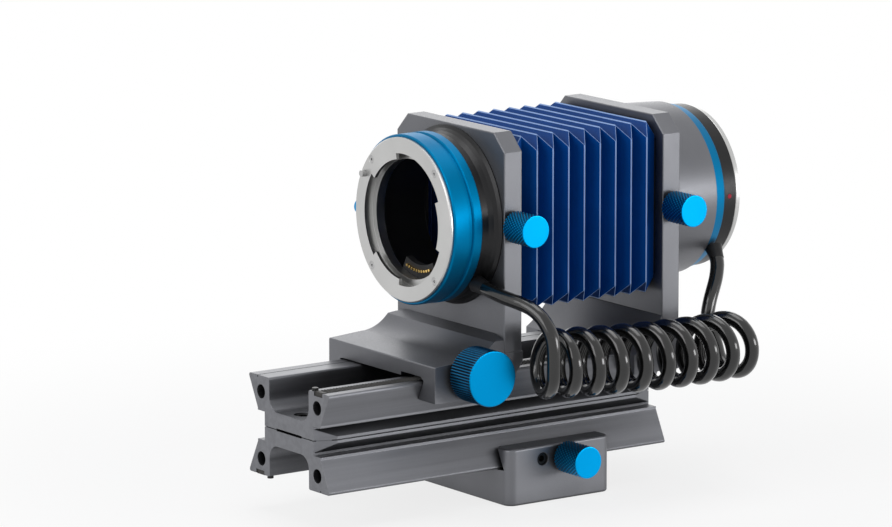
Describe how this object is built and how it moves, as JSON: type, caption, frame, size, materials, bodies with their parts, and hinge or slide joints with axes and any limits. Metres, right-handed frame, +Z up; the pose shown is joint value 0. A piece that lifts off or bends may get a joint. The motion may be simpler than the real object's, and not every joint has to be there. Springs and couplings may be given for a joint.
{
  "type": "macro bellows unit",
  "caption": "Photographic macro bellows: standards on a dovetail rail over a focusing block, blue knobs and bellows, adapters for lens and camera, and a curly cord.",
  "frame": {"origin": "centre of the tripod thread's mouth, in the focusing block's bottom face", "axes": "+Y along the optical axis from the lens side to the camera side, +Z up, +X towards the side with the front drive knob and the curly cord"},
  "size_m": [0.1131, 0.186, 0.1373],
  "materials": {
    "anodised_grey": "satin dark grey anodised",
    "anodised_blue": "satin bright blue anodised",
    "anodised_black": "satin black anodised",
    "black_metal": "matte black",
    "steel": "machined steel",
    "black_steel": "blackened steel",
    "bayonet_chrome": "satin chrome",
    "brass": "turned brass",
    "gold_contacts": "gold plated",
    "black_plastic": "matte black",
    "red_paint": "gloss red",
    "bellows_cloth": "coated blue cloth with stiffened folds",
    "black_rubber": "satin black",
    "cord_jacket": "glossy black jacket"
  },
  "bodies": {
    "focus_block": {"focus_block": "anodised_grey", "tripod_insert": "steel", "focus_clamp_shoe": "brass", "focus_friction_screw": "black_steel", "focus_bush": "brass"},
    "rails": {"upper_rail": "anodised_grey", "lower_rail": "anodised_grey", "upper_rack": "steel", "lower_rack": "steel", "rail_screws": "black_steel", "rail_nuts": "steel", "rail_stop_pins": "black_steel", "rear_foot": "anodised_grey", "rear_foot_screws": "black_steel", "rear_standard": "anodised_grey", "rear_standard_screws": "black_steel", "rear_bellows_frame": "black_metal", "rear_tube": "anodised_grey", "rear_ring": "anodised_blue", "rear_mount_ring": "anodised_black", "index_dot": "red_paint", "rear_bayonet": "bayonet_chrome", "rear_bayonet_screws": "steel", "rear_contact_block": "black_plastic", "rear_contact_pins": "gold_contacts", "rear_cord_boot": "black_rubber", "bellows": "bellows_cloth", "cord_front_lead": "cord_jacket", "cord_coil": "cord_jacket", "cord_rear_lead": "cord_jacket"},
    "front_carriage": {"front_carriage": "anodised_grey", "carriage_clamp_shoe": "brass", "carriage_friction_screw": "black_steel", "drive_bush": "brass", "front_standard": "anodised_grey", "front_standard_screws": "black_steel", "front_bellows_frame": "black_metal", "front_tube": "anodised_black", "front_ring": "anodised_blue", "front_bayonet": "bayonet_chrome", "front_bayonet_screws": "steel", "front_contact_block": "black_plastic", "front_contact_pins": "gold_contacts", "release_spring": "steel", "lock_pin_spring": "steel", "front_cord_boot": "black_rubber"},
    "focus_drive": {"focus_pinion_shaft": "steel", "focus_drive_knob": "anodised_blue"},
    "focus_lock": {"focus_lock_knob": "anodised_blue", "focus_lock_stud": "steel"},
    "extension_drive": {"drive_pinion_shaft": "steel", "front_drive_knob": "anodised_blue"},
    "extension_lock": {"carriage_lock_knob": "anodised_blue", "carriage_lock_stud": "steel"},
    "front_adapter_lock": {"front_lock_knob": "anodised_blue", "front_lock_stud": "steel"},
    "rear_adapter_lock": {"rear_lock_knob": "anodised_blue", "rear_lock_stud": "steel"},
    "lens_release": {"lens_release_button": "anodised_blue"},
    "lens_lock": {"lens_lock_pin": "steel"}
  },
  "joints": [
    {"name": "focus_slide", "type": "slide", "parent": "focus_block", "child": "rails", "axis": [0, 1, 0], "range_m": [-0.03, 0.07]},
    {"name": "focus_knob_turn", "type": "hinge", "parent": "focus_block", "child": "focus_drive", "pos_m": [-0.0382, -0.0042, 0.01045], "axis": [1, 0, 0], "range_deg": [-1260, 540]},
    {"name": "focus_lock_turn", "type": "hinge", "parent": "focus_block", "child": "focus_lock", "pos_m": [0.0387, 0.0027, 0.0161], "axis": [1, 0, 0], "range_deg": [0, 270]},
    {"name": "extension_slide", "type": "slide", "parent": "rails", "child": "front_carriage", "axis": [0, 1, 0], "range_m": [-0.038, 0.03], "deforming": ["bellows", "cord_coil", "cord_front_lead", "cord_rear_lead"]},
    {"name": "extension_knob_turn", "type": "hinge", "parent": "front_carriage", "child": "extension_drive", "pos_m": [0.041, -0.0416, 0.05275], "axis": [1, 0, 0], "range_deg": [-560, 700]},
    {"name": "extension_lock_turn", "type": "hinge", "parent": "front_carriage", "child": "extension_lock", "pos_m": [-0.041, -0.0347, 0.0464], "axis": [-1, 0, 0], "range_deg": [0, 270]},
    {"name": "front_adapter_lock_turn", "type": "hinge", "parent": "front_carriage", "child": "front_adapter_lock", "pos_m": [0.041, -0.0224, 0.1039], "axis": [1, 0, 0], "range_deg": [0, 270]},
    {"name": "rear_adapter_lock_turn", "type": "hinge", "parent": "rails", "child": "rear_adapter_lock", "pos_m": [0.041, 0.0491, 0.1039], "axis": [1, 0, 0], "range_deg": [0, 270]},
    {"name": "lens_release_press", "type": "slide", "parent": "front_carriage", "child": "lens_release", "axis": [1, 0, 0], "range_m": [0, 0.0016], "stiffness_N_per_m": 500, "springref_m": -0.002, "deforming": ["release_spring", "lock_pin_spring"]},
    {"name": "lens_lock_slide", "type": "slide", "parent": "front_carriage", "child": "lens_lock", "axis": [0, 1, 0], "range_m": [0, 0.0016]}
  ],
  "couplings": [
    {"joint": "focus_knob_turn", "follows": "focus_slide", "rad_per_m": -312.5},
    {"joint": "extension_knob_turn", "follows": "extension_slide", "rad_per_m": -312.5},
    {"joint": "lens_lock_slide", "follows": "lens_release_press", "ratio": 1}
  ]
}
